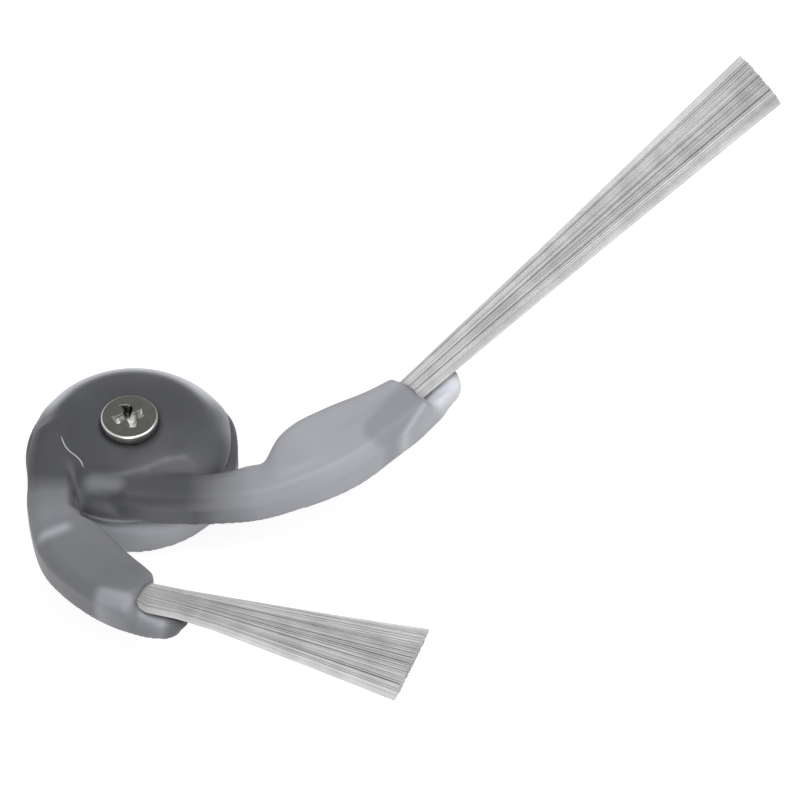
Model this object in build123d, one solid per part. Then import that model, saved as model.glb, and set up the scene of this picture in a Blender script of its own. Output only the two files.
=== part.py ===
from build123d import *
import os
from collections import namedtuple
from math import acos, cos, degrees, radians, sin, sqrt

# Two-armed side brush of a robot vacuum cleaner, in millimetres and degrees.
# A soft, translucent moulding forms the domed hub, its skirt and two curved arms. It is moulded over a dark
# rigid core with a keyed drive socket, a cross-recess screw sits in the crown, and each arm ends in a mouth
# that holds a flat, flaring tuft of bristles. One arm is long and the other is short.
# The origin is on the hub axis at the underside, and +Z points up through the screw. The long arm leaves the
# hub along +X, the short one along -Y, and both curl anticlockwise seen from above.

# Hub, from the underside up
HUB_D = 24.0
SKIRT_H = 3.7
SKIRT_EDGE = 0.5
GROOVE_H = 0.5
GROOVE_D = 21.4
DOME_D = 22.4
DOME_H = 4.4
DOME_WALL_H = 0.9
DOME_EDGE_W = 0.8
DOME_EDGE_H = 1.0

# Rigid core inside the hub
CORE_D = 18.0
CROWN_WALL = 1.1
SHOULDER_H = 1.6
CORE_WALL = 1.3
CORE_ROOF = 1.6
BOSS_D = 11.6
RIB_T = 1.0
RIB_COUNT = 4
LUG_W = 2.4
LUG_H = 1.5
LUG_REACH = 9.0

# Drive socket in the core: a round hole with two flats
DRIVE_D = 8.0
DRIVE_FLATS = 6.4
DRIVE_DEPTH = 4.4

# Screw, which is captive: its thread is wider than the hole that its neck turns in
SCREW_D = 3.0
SCREW_LENGTH = 6.0
SCREW_TIP = 0.5
NECK_D = 2.3
NECK_CLEARANCE = 0.2
THREAD_PLAY = 0.2
HEAD_D = 6.4
HEAD_H = 2.3
HEAD_EDGE = 0.3
HEAD_CLEARANCE = 0.12
SEAT_RIM = 0.6
RECESS_SPAN = 3.4
RECESS_W = 0.8
RECESS_DEPTH = 1.4
RECESS_DRAFT = 8.0
RECESS_TURN = 20.0

# Shared by both arms
ARM_START_R = 10.8
ARM_H = 3.3
ARM_EDGE = 1.1
ROOT_BACK = 4.5
ROOT_INSET = 2.6
ROOT_W = 2.4
ROOT_H = 2.5
PADDLE_RISE = 0.7
PADDLE_SAG = 0.3
FIN_T = 2.2
FIN_DROP = 0.06
FIN_EDGE = 0.4
JAW_H = 2.2
JAW_W = 3.2
JAW_EDGE = 0.5
BAR_SECTIONS = 3

# Largest share of a side that its rounded or chamfered corner may take
EASE_SHARE = 0.45

# Long arm
LONG_STRAIGHT = 7.1
LONG_RADIUS = 31.2
LONG_NECK_W = 5.4
LONG_TURN = 61.4
LONG_JAW_LENGTH = 7.3
LONG_FIN_START = 17.3
LONG_FIN_CREST = 26.0
LONG_FIN_W = 9.2
LONG_MOUTH_INSET = 3.7
LONG_SOCKET_DEPTH = 8.0
LONG_TUFT_AIM = 49.3

# Short arm
SHORT_STRAIGHT = 7.6
SHORT_RADIUS = 19.7
SHORT_NECK_W = 5.6
SHORT_TURN = 70.0
SHORT_JAW_LENGTH = 5.4
SHORT_FIN_START = 14.6
SHORT_FIN_CREST = 21.0
SHORT_FIN_W = 7.1
SHORT_MOUTH_INSET = 3.7
SHORT_SOCKET_DEPTH = 5.0
SHORT_TUFT_AIM = 70.9

# Bristles and the sockets that hold them
SOCKET_GAP = 0.15
SOCKET_WALL = 0.55
SOCKET_ROOF = 0.6
CHANNEL_GAP = 0.3
TUFT_RISE = 5.1
TUFT_TILT = 4.0
TUFT_H = 2.0
BEAD_T = 1.2
FILAMENT_D = 0.26
FILAMENT_PITCH = 0.3
FILAMENT_ROWS = 7
LONG_TUFT_W = 3.5
LONG_TIP_W = 7.8
LONG_TIP_TILT = 31.0
LONG_TUFT_LENGTH = 65.0
SHORT_TUFT_W = 2.0
SHORT_TIP_W = 10.4
SHORT_TIP_TILT = -4.0
SHORT_TUFT_LENGTH = 30.8

# Heights and radii that follow
DOME_R = DOME_D / 2
DOME_Z = SKIRT_H + GROOVE_H
HUB_TOP = DOME_Z + DOME_H
ARM_TOP = DOME_Z + ARM_H
PADDLE_TOP = ARM_TOP + PADDLE_RISE
PADDLE_LOW = DOME_Z - PADDLE_SAG
HEAD_HOLE_R = HEAD_D / 2 + HEAD_CLEARANCE
SEAT_R = HEAD_HOLE_R + SEAT_RIM
DRUM_TOP = DOME_Z + SHOULDER_H
CROWN_EDGE = DOME_R - DOME_EDGE_W
CROWN_H = DOME_H - DOME_WALL_H - DOME_EDGE_H
CROWN_R = (CROWN_EDGE ** 2 + CROWN_H ** 2) / (2 * CROWN_H)
SEAT_Z = HUB_TOP - CROWN_R + sqrt(CROWN_R ** 2 - SEAT_R ** 2) - CROWN_WALL
SOCKET_H = TUFT_H + 2 * SOCKET_GAP
MOUTH_Z = PADDLE_TOP - SOCKET_ROOF - SOCKET_H / 2

Arm = namedtuple("Arm", "straight radius neck_w turn jaw fin_start fin_crest fin_w mouth_inset socket_depth "
                 "aim tuft_w tip_w tip_tilt tuft_length")
LONG_ARM = Arm(LONG_STRAIGHT, LONG_RADIUS, LONG_NECK_W, LONG_TURN, LONG_JAW_LENGTH, LONG_FIN_START,
               LONG_FIN_CREST, LONG_FIN_W, LONG_MOUTH_INSET, LONG_SOCKET_DEPTH, LONG_TUFT_AIM,
               LONG_TUFT_W, LONG_TIP_W, LONG_TIP_TILT, LONG_TUFT_LENGTH)
SHORT_ARM = Arm(SHORT_STRAIGHT, SHORT_RADIUS, SHORT_NECK_W, SHORT_TURN, SHORT_JAW_LENGTH, SHORT_FIN_START,
                SHORT_FIN_CREST, SHORT_FIN_W, SHORT_MOUTH_INSET, SHORT_SOCKET_DEPTH, SHORT_TUFT_AIM,
                SHORT_TUFT_W, SHORT_TIP_W, SHORT_TIP_TILT, SHORT_TUFT_LENGTH)
LONG_PLACE = Rot(0, 0, 0)
SHORT_PLACE = Rot(0, 0, -90)
ON_BASE = (Align.CENTER, Align.CENTER, Align.MIN)


# Places along an arm. An arm is built as if it left the hub along +X, and is turned into place at the end.
# A station is a length along the outer edge, from where that edge passes the hub axis, and an inset is the
# distance inwards from that edge.

def edge_point(arm, station, inset=0.0):
    """Point at a station and an inset: on the straight run first, then round the arc."""
    if station <= arm.straight:
        return Vector(station, inset - ARM_START_R)
    turn = (station - arm.straight) / arm.radius
    reach = arm.radius - inset
    return Vector(arm.straight + reach * sin(turn), arm.radius - ARM_START_R - reach * cos(turn))


def heading(arm, station):
    """Direction of the arm at a station, in radians from +X."""
    return max(0.0, station - arm.straight) / arm.radius


def section_plane(arm, station):
    """Plane across the arm: x runs inwards from the outer edge, y runs up, z runs along the arm."""
    turn = heading(arm, station)
    return Plane(edge_point(arm, station), x_dir=(-sin(turn), cos(turn), 0), z_dir=(cos(turn), sin(turn), 0))


def mouth_station(arm):
    return arm.straight + arm.radius * radians(arm.turn)


def tuft_flare(arm):
    """Gain in the tuft's width for each millimetre of its length."""
    return (arm.tip_w - arm.tuft_w) / (arm.socket_depth + arm.tuft_length)


def socket_width(arm):
    return arm.tuft_w + tuft_flare(arm) * arm.socket_depth + 2 * SOCKET_GAP


def end_width(arm):
    """Width of the arm at its mouth, which leaves a wall on the inner side of the socket."""
    return arm.mouth_inset + socket_width(arm) / 2 + SOCKET_WALL


def tuft_frame(arm, tilt, along=0.0):
    """Place on the tuft's middle line: x runs across it to the inner side, y up, z to the tip."""
    middle = edge_point(arm, mouth_station(arm), arm.mouth_inset)
    aim = radians(arm.aim)
    mouth = (middle.X, middle.Y, MOUTH_Z)
    level = Plane(mouth, x_dir=(-sin(aim), cos(aim), 0), z_dir=(cos(aim), sin(aim), 0))
    return level.location * Rot(X=-TUFT_RISE) * Rot(Z=tilt) * Pos(0, 0, along)


def blend(a, b, start, end, at):
    """Smooth passage from a to b between two stations."""
    t = min(1.0, max(0.0, (at - start) / (end - start)))
    return a + (b - a) * t * t * (3 - 2 * t)


# The soft moulding

def hub():
    """Skirt, groove and dome, turned about the hub axis."""
    skirt = HUB_D / 2
    groove = GROOVE_D / 2
    outline = Polyline((0, 0), (skirt, 0), (skirt, SKIRT_H - SKIRT_EDGE), (skirt - SKIRT_EDGE, SKIRT_H),
                       (groove, SKIRT_H), (groove, DOME_Z), (DOME_R, DOME_Z), (DOME_R, DOME_Z + DOME_WALL_H),
                       (CROWN_EDGE, HUB_TOP - CROWN_H))
    turn = degrees(acos(CROWN_EDGE / CROWN_R))
    crown = CenterArc((0, HUB_TOP - CROWN_R), CROWN_R, turn, 90 - turn)
    axis = Line((0, HUB_TOP), (0, 0))
    return revolve(Plane.XZ * make_face(outline + crown + axis), Axis.Z)


def bar_section(arm, station, inset, width, low, high):
    """Section across the arm, square below and with its upper corners taken off."""
    block = Rectangle(width, high - low)
    corner = min(ARM_EDGE, EASE_SHARE * width, EASE_SHARE * (high - low))
    eased = chamfer(block.vertices().group_by(Axis.Y)[-1], corner)
    return section_plane(arm, station) * Pos(inset + width / 2, (low + high) / 2) * eased


def bar(arm):
    """Main bar of the arm from the hub to the mouth, with a root that dies away in the dome's shoulder."""
    end = mouth_station(arm)
    sections = []
    for i in range(BAR_SECTIONS + 1):
        station = end * i / BAR_SECTIONS
        width = blend(arm.neck_w, end_width(arm), arm.fin_start, end, station)
        low = blend(DOME_Z, PADDLE_LOW, arm.straight, arm.fin_crest, station)
        top = blend(ARM_TOP, PADDLE_TOP, arm.straight, arm.fin_crest, station)
        sections.append(bar_section(arm, station, 0, width, low, top))
    root = bar_section(arm, -ROOT_BACK, ROOT_INSET, ROOT_W, DOME_Z, DOME_Z + ROOT_H)
    return loft(sections) + loft([root, sections[0]])


def fin(arm):
    """Thin blade on the inner side: a steep shoulder, a crest and a long taper to the mouth."""
    end = mouth_station(arm)
    start_at = edge_point(arm, arm.fin_start, arm.neck_w)
    crest_at = edge_point(arm, arm.fin_crest, arm.fin_w)
    end_at = edge_point(arm, end, end_width(arm))
    turn = heading(arm, arm.fin_crest)
    along = Vector(cos(turn), sin(turn))
    rise = TangentArc(crest_at, start_at, tangent=-along)
    taper = TangentArc(crest_at, end_at, tangent=along)
    inside = arm.neck_w / 2
    back = ThreePointArc(edge_point(arm, end, inside), edge_point(arm, (end + arm.fin_start) / 2, inside),
                         edge_point(arm, arm.fin_start, inside))
    outline = make_face(rise + taper + Line(end_at, back @ 0) + back + Line(back @ 1, start_at))
    blade = Pos(0, 0, PADDLE_TOP - FIN_DROP - FIN_T) * extrude(outline, FIN_T)
    rim = blade.edges().group_by(Axis.Z)[-1].filter_by(GeomType.CIRCLE).sort_by_distance(back @ 0.5)[1:]
    return chamfer(rim, min(FIN_EDGE, EASE_SHARE * FIN_T))


def jaw(arm):
    """Lower lip that runs on past the mouth under the tuft, with a round end."""
    start = mouth_station(arm) - JAW_W
    end = mouth_station(arm) + arm.jaw - JAW_W / 2
    middle = (start + end) / 2
    outer = ThreePointArc(edge_point(arm, start), edge_point(arm, middle), edge_point(arm, end))
    nose = ThreePointArc(outer @ 1, edge_point(arm, end + JAW_W / 2, JAW_W / 2), edge_point(arm, end, JAW_W))
    inner = ThreePointArc(nose @ 1, edge_point(arm, middle, JAW_W), edge_point(arm, start, JAW_W))
    outline = make_face(outer + nose + inner + Line(inner @ 1, outer @ 0))
    lip = Pos(0, 0, PADDLE_LOW) * extrude(outline, JAW_H)
    rim = lip.edges().group_by(Axis.Z)[-1].filter_by(GeomType.CIRCLE)
    return chamfer(rim, min(JAW_EDGE, EASE_SHARE * JAW_H))


def tuft_space(arm):
    """Room for the tuft: a blind socket behind the mouth and a flaring channel in front of it."""
    width = socket_width(arm)
    reach = 2 * arm.jaw
    slot = tuft_frame(arm, TUFT_TILT) * RectangleRounded(width, SOCKET_H, EASE_SHARE * SOCKET_H)
    near = tuft_frame(arm, TUFT_TILT) * Rectangle(width, SOCKET_H)
    far = tuft_frame(arm, TUFT_TILT, reach) * Rectangle(
        width + tuft_flare(arm) * reach + 2 * CHANNEL_GAP, SOCKET_H + 2 * CHANNEL_GAP)
    return extrude(slot, -arm.socket_depth) + loft([near, far])


def arm_solid(arm):
    return bar(arm) + fin(arm) + jaw(arm) - tuft_space(arm)


def brush_body():
    head_hole = Pos(0, 0, SEAT_Z) * Cylinder(HEAD_HOLE_R, HUB_TOP, align=ON_BASE)
    solid = hub() + LONG_PLACE * arm_solid(LONG_ARM) + SHORT_PLACE * arm_solid(SHORT_ARM)
    return solid - core_envelope() - head_hole


# The rigid core

def lug(arm):
    """Key that reaches from the core into an arm's root."""
    middle = edge_point(arm, 0, arm.neck_w / 2)
    block = Box(LUG_REACH, LUG_W, LUG_H, align=(Align.MIN, Align.CENTER, Align.CENTER))
    return Pos(middle.X, middle.Y, DOME_Z + ARM_H / 2) * block


def core_envelope():
    """Outside of the core: a drum, a raised seat for the screw and a key for each arm."""
    drum = CORE_D / 2
    outline = Polyline((0, 0), (drum, 0), (drum, DRUM_TOP), (SEAT_R, DRUM_TOP), (SEAT_R, SEAT_Z),
                       (0, SEAT_Z), close=True)
    turned = revolve(Plane.XZ * make_face(outline), Axis.Z)
    return turned + LONG_PLACE * lug(LONG_ARM) + SHORT_PLACE * lug(SHORT_ARM)


def drive_socket():
    """Keyed hole that goes over the machine's drive post."""
    return extrude(Circle(DRIVE_D / 2) & Rectangle(DRIVE_D, DRIVE_FLATS), DRIVE_DEPTH)


def core_pockets():
    """Hollow between the boss and the outer wall, open below, with ribs left standing across it."""
    ring = Circle(CORE_D / 2 - CORE_WALL) - Circle(BOSS_D / 2)
    spokes = PolarLocations(CORE_D / 4, RIB_COUNT) * Rectangle(CORE_D / 2, RIB_T)
    return extrude(ring - spokes, DRUM_TOP - CORE_ROOF)


def hub_core():
    hole = Cylinder(NECK_D / 2 + NECK_CLEARANCE, SEAT_Z, align=ON_BASE)
    return core_envelope() - core_pockets() - drive_socket() - hole


# The screw

def fixing_screw():
    """Captive pan-head screw with a cross recess, resting in the crown."""
    head = Pos(0, 0, SEAT_Z) * Cylinder(HEAD_D / 2, HEAD_H, align=ON_BASE)
    head = chamfer(head.edges().group_by(Axis.Z)[-1], HEAD_EDGE)
    end = SEAT_Z - SCREW_LENGTH
    neck = Pos(0, 0, end) * Cylinder(NECK_D / 2, SCREW_LENGTH, align=ON_BASE)
    thread = Pos(0, 0, end) * Cylinder(SCREW_D / 2, DRIVE_DEPTH - THREAD_PLAY - end, align=ON_BASE)
    thread = chamfer(thread.edges().group_by(Axis.Z)[0], SCREW_TIP)
    cross = Rectangle(RECESS_SPAN, RECESS_W) + Rectangle(RECESS_W, RECESS_SPAN)
    top = Pos(0, 0, SEAT_Z + HEAD_H) * Rot(0, 0, RECESS_TURN)
    return head + neck + thread - extrude(top * cross, -RECESS_DEPTH, taper=RECESS_DRAFT)


# The bristles

def filament(start, end):
    """One straight four-sided filament."""
    along = end - start
    return extrude(Plane(start, z_dir=along) * RegularPolygon(FILAMENT_D / 2, 4), along.length)


def tuft(arm):
    """Filaments that fan out from a bead at the bottom of the socket to a straight cut at the tip."""
    root = tuft_frame(arm, TUFT_TILT, -arm.socket_depth)
    tip = tuft_frame(arm, arm.tip_tilt, arm.tuft_length)
    root_w = arm.tuft_w - FILAMENT_D
    tip_w = arm.tip_w - FILAMENT_D
    row_step = (TUFT_H - FILAMENT_D) / (FILAMENT_ROWS - 1)
    most = int(root_w / FILAMENT_PITCH) + 1
    bead = extrude(root * RectangleRounded(arm.tuft_w, TUFT_H, EASE_SHARE * TUFT_H), BEAD_T)
    filaments = []
    for row in range(FILAMENT_ROWS):
        from_middle = row - (FILAMENT_ROWS - 1) / 2
        count = most - int(abs(from_middle))
        for column in range(count):
            across = (column - (count - 1) / 2) / (most - 1)
            start = (root * Pos(across * root_w, from_middle * row_step, BEAD_T / 2)).position
            end = (tip * Pos(across * tip_w, from_middle * row_step)).position
            filaments.append(filament(start, end))
    return bead.fuse(*filaments)


pieces = {
    "brush_body": brush_body(),
    "hub_core": hub_core(),
    "fixing_screw": fixing_screw(),
    "long_tuft": LONG_PLACE * tuft(LONG_ARM),
    "short_tuft": SHORT_PLACE * tuft(SHORT_ARM),
}
os.makedirs("parts", exist_ok=True)
for name, piece in pieces.items():
    export_step(piece, f"parts/{name}.step")
    print(name, piece.is_valid, round(piece.volume, 1))
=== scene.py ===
import bmesh
import bpy
import numpy as np
from mathutils import Matrix, Vector
from types import SimpleNamespace


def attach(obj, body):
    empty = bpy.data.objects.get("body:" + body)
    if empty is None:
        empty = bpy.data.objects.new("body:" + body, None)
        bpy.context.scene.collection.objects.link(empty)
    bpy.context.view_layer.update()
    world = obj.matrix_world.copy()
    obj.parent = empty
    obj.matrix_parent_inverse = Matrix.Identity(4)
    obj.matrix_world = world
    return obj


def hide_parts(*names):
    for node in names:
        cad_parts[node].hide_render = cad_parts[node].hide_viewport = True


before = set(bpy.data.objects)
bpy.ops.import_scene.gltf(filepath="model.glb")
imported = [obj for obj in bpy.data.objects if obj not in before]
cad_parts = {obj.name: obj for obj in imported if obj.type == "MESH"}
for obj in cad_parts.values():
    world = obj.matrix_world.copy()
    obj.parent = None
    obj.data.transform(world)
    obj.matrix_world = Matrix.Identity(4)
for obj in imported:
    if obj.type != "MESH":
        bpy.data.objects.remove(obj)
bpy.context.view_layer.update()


# Hub core. A rigid insert in dark plastic, injection moulded, with the keyed drive socket below.
# The soft body is moulded over it, so only its ribbed underside is open to view.

MM = 0.001
CORE_GREY = 34
CORE_BLUE = 2
CORE_MOTTLE = 8
CORE_ROUGHNESS = 0.55
CORE_UNEVEN = 0.1
NOISE_LOW = 0.3
NOISE_HIGH = 0.7
BEVEL_SAMPLES = 8


def srgb(*levels):
    """Linear colour of display levels from 0 to 255, by the display curve's own formula."""
    c = np.array(levels) / 255.0
    linear = np.where(c <= 0.04045, c / 12.92, ((c + 0.055) / 1.055) ** 2.4)
    return (*linear.tolist(), 1.0)


def new_material(name):
    """A material with its nodes, its links and its principled shader."""
    material = bpy.data.materials.new(name)
    material.use_nodes = True
    tree = material.node_tree
    return material, tree.nodes, tree.links, tree.nodes["Principled BSDF"]


def noise(nodes, links, size, detail=3.0):
    """Noise in object space, with features about size long."""
    place = nodes.new("ShaderNodeTexCoord")
    grain = nodes.new("ShaderNodeTexNoise")
    grain.inputs["Scale"].default_value = 1 / size
    grain.inputs["Detail"].default_value = detail
    links.new(place.outputs["Object"], grain.inputs["Vector"])
    return grain.outputs["Fac"]


def spread(nodes, links, source, low, high):
    """Maps the middle range of a noise to values from low to high."""
    mapped = nodes.new("ShaderNodeMapRange")
    mapped.inputs["From Min"].default_value = NOISE_LOW
    mapped.inputs["From Max"].default_value = NOISE_HIGH
    mapped.inputs["To Min"].default_value = low
    mapped.inputs["To Max"].default_value = high
    links.new(source, mapped.inputs["Value"])
    return mapped.outputs["Result"]


def bump(nodes, links, shader, height, strength, depth, rounding=0.0):
    """Fine relief of the given depth on a shader's normal, over edges that look rounded to a radius."""
    relief = nodes.new("ShaderNodeBump")
    if rounding:
        rounded = nodes.new("ShaderNodeBevel")
        rounded.samples = BEVEL_SAMPLES
        rounded.inputs["Radius"].default_value = rounding
        links.new(rounded.outputs["Normal"], relief.inputs["Normal"])
    relief.inputs["Strength"].default_value = strength
    relief.inputs["Distance"].default_value = depth
    links.new(height, relief.inputs["Height"])
    links.new(relief.outputs["Normal"], shader.inputs["Normal"])


def tinted(nodes, links, shader, factor, dark, light):
    """Base colour that runs from dark to light with a factor."""
    mix = nodes.new("ShaderNodeMix")
    mix.data_type = "RGBA"
    mix.inputs["A"].default_value = dark
    mix.inputs["B"].default_value = light
    links.new(factor, mix.inputs["Factor"])
    links.new(mix.outputs["Result"], shader.inputs["Base Color"])


def core_colour(level):
    """A grey of the given display level that leans a little to blue."""
    return srgb(level, level, level + CORE_BLUE)


def core_plastic():
    """Dark moulded plastic with a fine mottle and a matt grain."""
    material, nodes, links, shader = new_material("core_plastic")
    mottle = noise(nodes, links, 1.5 * MM)
    dark = core_colour(CORE_GREY - CORE_MOTTLE)
    light = core_colour(CORE_GREY + CORE_MOTTLE)
    tinted(nodes, links, shader, mottle, dark, light)
    uneven = spread(nodes, links, mottle, CORE_ROUGHNESS - CORE_UNEVEN, CORE_ROUGHNESS + CORE_UNEVEN)
    links.new(uneven, shader.inputs["Roughness"])
    bump(nodes, links, shader, noise(nodes, links, 0.15 * MM), strength=0.3, depth=0.02 * MM)
    return material


def dress(node, material):
    """Gives a CAD node its finish."""
    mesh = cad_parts[node].data
    mesh.materials.clear()
    mesh.materials.append(material)


dress("hub_core", core_plastic())


# Soft body. The domed hub, its skirt and both curved arms are one moulding in a soft, milky grey plastic,
# shot over the core. The mould rounds every edge. The core, its keys in the arm roots and the bound ends of
# the bristles show through the plastic as darker patches. Painted shade, painted highlights and painted
# light through the thin lip are added to its tone.

scene = bpy.context.scene

# Rounding of the CAD form.
WELD_GAP = 0.002 * MM
BODY_VOXEL = 0.2 * MM
EDGE_RADIUS = 1.2 * MM
ROUND_STEP = 0.5
SWELL_STEP = -0.52
EDGE_ROUNDS = 30
ROOT_ROUNDS = 60
LIP_ROUNDS = 20

# Main sizes in millimetres. An arm's edge is the length of its straight part and the radius of its arc.
HEAD_R = 3.2
HEAD_SEAT = 7.16
HEAD_GAP = 0.01
ROUNDED_GAP = 0.35
SEAT_EDGE = 0.2
CROWN_R = 4.2
HUB_REACH = 12.5
SKIRT_TOP = 3.8
ARM_OFFSET = 10.8
LONG_EDGE = (7.1, 31.2)
SHORT_EDGE = (7.6, 19.7)
ARMS_PART_Y = -9.0
LONG_SIDE_X = -4.9
LONG_SIDE_Y = -11.4

# Where the rounded form melts. A corner is a place in plan. Any other pair is where a share starts
# and ends.
ROOT_FADE = (4.0, 8.0)
ROOT_EDGE = (0.4, 1.6)
UPPER_SIDE = (4.6, 5.4)
CROWN_FADE = (CROWN_R, 5.2)
LONG_BLADE = (14.5, 20.5)
SHORT_BLADE = (11.5, 18.5)
BLADE_EDGE = (1.2, 2.6)
BLADE_TOP = (6.2, 7.0)
LONG_CORNER = (35.4, 6.0)
LONG_CORNER_FADE = (1.0, 2.2)
SHORT_CORNER = (3.4, -25.6)
SHORT_CORNER_FADE = (1.0, 2.4)

# Places in plan where the form is pushed, and where the lips are smoothed.
LONG_BLADE_OUT = (29.9, -0.4)
LONG_BLADE_IN = (26.5, 6.2)
LONG_NECK_IN = (13.8, -4.7)
LONG_NECK_OUT = (15.1, -9.4)
LONG_LIP_ROOT = (35.5, 6.3)
LONG_LIP_END = (36.8, 9.8)
LONG_ROOF_CORNER = (33.4, 6.7)
LONG_LIP_TOP = ((33.0, 7.0), (36.2, 10.7))
LONG_LIP_LINE = ((33.8, 7.2), (36.2, 10.0))
LONG_LIP_FADE = (1.4, 2.4)
SHORT_ROOT_OUT = (-10.9, -7.6)
SHORT_BEND_OUT = (-7.8, -18.4)
SHORT_ROOF_CORNER = (4.4, -21.3)
SHORT_LIP_OUT = (6.5, -27.2)
SHORT_LIP_END = (7.7, -26.2)
SHORT_LIP_FOOT = (7.4, -27.2)
SHORT_LIP_IN = (7.8, -25.3)
SHORT_LIP_TOP = ((2.8, -24.6), (7.3, -26.4))
SHORT_LIP_LINE = ((3.6, -25.6), (7.6, -26.6))
SHORT_LIP_FADE = (0.8, 1.8)
LIP_FOOT = (4.4, 5.2)
LIP_HEAD = (6.6, 7.2)
DOME_SHOULDER = (10.4, 4.7)
PUSH_FADE = 0.8
BELOW_ALL = -1.0
ABOVE_ALL = 20.0

# Display levels and tints: the dome's from its middle outwards, and each arm's along its run.
DOME_MM = (0.0, 8.2, 9.4, 10.4, 11.2)
DOME_LEVEL = (78, 80, 92, 124, 150)
DOME_EDGE = (11.3, 11.8)
LONG_MM = (-5.0, 7.0, 10.5, 15.0, 24.0, 34.0, 48.0)
LONG_LEVEL = (75, 76, 124, 158, 170, 168, 176)
SHORT_MM = (-5.0, 7.0, 10.0, 14.0, 18.0, 28.0, 38.0)
SHORT_LEVEL = (76, 77, 123, 137, 123, 117, 142)
ROOT_START = (-5.5, -3.5)
ROOT_BACK = (4.6, 6.0)
# The skirt is painted lit at the front, with painted shade at the sides and back.
SKIRT_LIT_LEVEL = 184
SKIRT_PAINTED_SHADE = 92
SKIRT_FADE_Y = (-6.0, -1.0)
# Painted highlight on the hub's lower front edge, and on the back rim, where it is partly the milky plastic
# past the core's edge.
RIM_HIGHLIGHT_LEVEL = 200
FRONT_EDGE_Z = (4.6, 5.0)
FRONT_EDGE_R = (10.6, 10.9)
FRONT_EDGE_X = (-7.5, 4.5)
BACK_RIM_R = (8.6, 10.2)
BACK_FROM = (15.0, 45.0)
BACK_TO = (150.0, 180.0)
TONE_GAIN = 0.66
TONE_GAMMA = 2.2
SOFT_DARK = (0.0, 0.0003, 0.003, 1.0)
SOFT_LIGHT = (0.97, 0.99, 1.06, 1.0)
SOFT_ROUGHNESS = (0.36, 0.5)

# A thin pale line on the dome.
LINE_START = (-7.66, -1.43)
LINE_END = (-4.64, -6.03)
LINE_WAVE = 0.22
LINE_BOW = 0.08
LINE_LATE = 1.2
LINE_FADE = 8
LINE_HALF = 0.055
LINE_SOFT = 0.035
LINE_TONE = 0.4


def welded_copy(node, name):
    """A free copy of a CAD node's mesh, whose loose triangles a weld joins at their corners."""
    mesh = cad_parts[node].data.copy()
    mesh.name = name
    mesh.materials.clear()
    piece = bpy.data.objects.new(name, mesh)
    scene.collection.objects.link(piece)
    weld = piece.modifiers.new("weld", "WELD")
    weld.merge_threshold = WELD_GAP
    return piece


def settle(piece):
    """Applies a piece's modifiers, and shades it smooth."""
    view = bpy.context.evaluated_depsgraph_get()
    mesh = bpy.data.meshes.new_from_object(piece.evaluated_get(view))
    piece.modifiers.clear()
    piece.data = mesh
    mesh.name = piece.name
    mesh.polygons.foreach_set("use_smooth", np.ones(len(mesh.polygons), bool))


def corners(mesh):
    """All corners of a mesh as one array, in millimetres."""
    co = np.empty(len(mesh.vertices) * 3, np.float32)
    mesh.vertices.foreach_get("co", co)
    return co.reshape(-1, 3).astype(float) / MM


def edge_ends(mesh):
    """The two corners of each edge of a mesh."""
    ends = np.empty(len(mesh.edges) * 2, np.int32)
    mesh.edges.foreach_get("vertices", ends)
    return ends.reshape(-1, 2)


def smooth_step(low, high, values):
    """0 below low and 1 above high, with the cubic 3t^2 - 2t^3 between."""
    t = np.clip((values - low) / (high - low), 0, 1)
    return t * t * (3 - 2 * t)


def hump(low, high, values):
    """Smooth rise from 0 at low to 1 in the middle and back to 0 at high."""
    middle = (low + high) / 2
    return smooth_step(low, middle, values) * (1 - smooth_step(middle, high, values))


def relax(points, ends, steps, share):
    """Moves each corner by each step in turn: that part of the way to its neighbours' mean, times its share.

    A step below zero swells the form again, so that a pair of steps rounds the edges and keeps the size."""
    a, b = ends.T
    count = len(points)
    degree = np.bincount(ends.ravel(), minlength=count)
    for step in steps:
        sums = [np.bincount(a, points[b, k], count) + np.bincount(b, points[a, k], count) for k in range(3)]
        mean = np.stack(sums, axis=1) / degree[:, None]
        points = points + (step * share)[:, None] * (mean - points)
    return points


def along_arm(x, y, straight, radius):
    """Run along an arm's outer edge and inset from it, for an arm that leaves along +X.

    The edge runs straight past the axis at ARM_OFFSET, then bends anticlockwise round an arc."""
    dx = x - straight
    dy = radius - ARM_OFFSET - y
    run = np.where(dx > 0, straight + radius * np.arctan2(dx, dy), x)
    inset = np.where(dx > 0, radius - np.hypot(dx, dy), y + ARM_OFFSET)
    return run, inset


def arm_places(at):
    """Run and inset of each corner on the long arm, then on the short one, which leaves along -Y."""
    return *along_arm(at[:, 0], at[:, 1], *LONG_EDGE), *along_arm(-at[:, 1], at[:, 0], *SHORT_EDGE)


def away(points, start, end):
    """Distance of each point in plan from the line between two places."""
    start = np.array(start)
    along = np.array(end) - start
    t = np.clip((points[:, :2] - start) @ along / max(along @ along, 1e-9), 0, 1)
    return np.linalg.norm(points[:, :2] - start - t[:, None] * along, axis=1)


def near(points, start, end, full, none):
    """1 within the distance full of a line in plan, and 0 past the distance none."""
    return 1 - smooth_step(full, none, away(points, start, end))


def root_melt(run, inset):
    """1 on an arm's root, fading along the arm and towards its outer edge."""
    return (1 - smooth_step(*ROOT_FADE, run)) * smooth_step(*ROOT_EDGE, inset)


def blade_melt(stretch, run, inset):
    """Hump over the stretch where an arm's blade begins, fading towards its outer edge."""
    return hump(*stretch, run) * smooth_step(*BLADE_EDGE, inset)


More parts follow.
